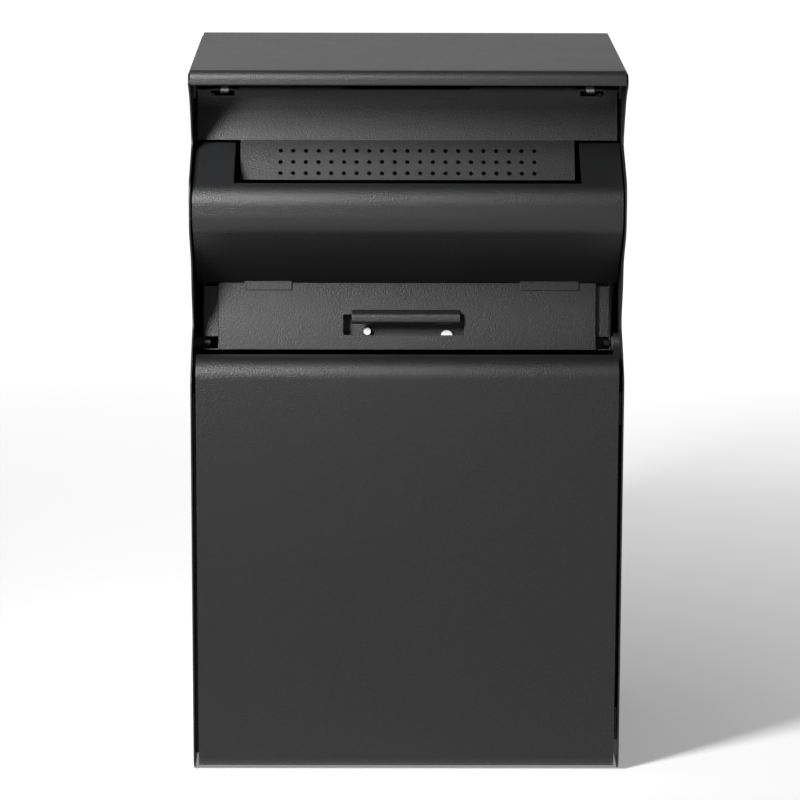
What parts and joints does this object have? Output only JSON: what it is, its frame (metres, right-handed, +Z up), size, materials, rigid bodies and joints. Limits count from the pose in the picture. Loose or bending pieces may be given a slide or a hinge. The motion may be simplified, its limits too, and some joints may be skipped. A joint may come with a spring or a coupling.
{
  "type": "parcel drop box",
  "caption": "Wall-fixed steel box for letters and parcels: sprung letter flap, tip-out parcel hopper under a rolled hood, wavy side panels and a side-hung collection door",
  "frame": {"origin": "bottom centre of the box: the middle of its width and depth, at the lower edge of the side panels", "axes": "+X to the right seen from the front, +Y to the back, +Z up; the door faces -Y"},
  "size_m": [0.408, 0.31, 0.674],
  "materials": {
    "powder_coat": "fine satin texture",
    "plated_steel": "zinc plated",
    "rubber": "matt",
    "nylon": "matt natural"
  },
  "bodies": {
    "shell": {"side_left": "powder_coat", "side_right": "powder_coat", "roof": "powder_coat", "back_panel": "powder_coat", "floor_plate": "powder_coat", "jamb_left": "powder_coat", "jamb_right": "powder_coat", "sill_rail": "powder_coat", "door_seal": "rubber", "shell_rivets": "plated_steel", "wall_washers": "rubber", "drain_grommets": "rubber", "letter_catcher": "powder_coat", "rod_brackets": "powder_coat", "hinge_rod": "plated_steel", "rod_clips": "plated_steel", "flap_springs": "plated_steel", "flap_buffers": "rubber", "pivot_brackets": "powder_coat", "pivot_bushes": "nylon", "chute_buffers": "rubber", "door_brackets": "plated_steel", "door_pins": "plated_steel", "bracket_screws": "plated_steel"},
    "flap": {"letter_flap": "powder_coat"},
    "chute": {"hood": "powder_coat", "chute_front": "powder_coat", "grip_lip": "powder_coat", "grip_cup": "powder_coat", "grip_plugs": "nylon", "chute_side_left": "powder_coat", "chute_side_right": "powder_coat", "chute_floor": "powder_coat", "pivot_pins": "plated_steel", "chute_rivets": "plated_steel"},
    "door": {"door_panel": "powder_coat", "door_stiffener": "powder_coat", "door_leaves": "plated_steel", "door_bushes": "nylon", "lock_barrel": "plated_steel", "lock_nut": "plated_steel"},
    "lock": {"lock_plug": "plated_steel", "lock_cam": "plated_steel", "cam_screw": "plated_steel"}
  },
  "joints": [
    {"name": "letter_flap_swing", "type": "hinge", "parent": "shell", "child": "flap", "pos_m": [0, -0.06, 0.645], "axis": [1, 0, 0], "range_deg": [0, 35], "stiffness_Nm_per_rad": 0.45, "springref_deg": -20.05},
    {"name": "chute_tilt", "type": "hinge", "parent": "shell", "child": "chute", "pos_m": [0, -0.081, 0.403], "axis": [1, 0, 0], "range_deg": [0, 50]},
    {"name": "door_swing", "type": "hinge", "parent": "shell", "child": "door", "pos_m": [0.192, -0.148, 0.2], "axis": [0, 0, 1], "range_deg": [0, 100]},
    {"name": "lock_turn", "type": "hinge", "parent": "door", "child": "lock", "pos_m": [-0.178, -0.127, 0.02], "axis": [0, 0, 1], "range_deg": [0, 90]}
  ]
}
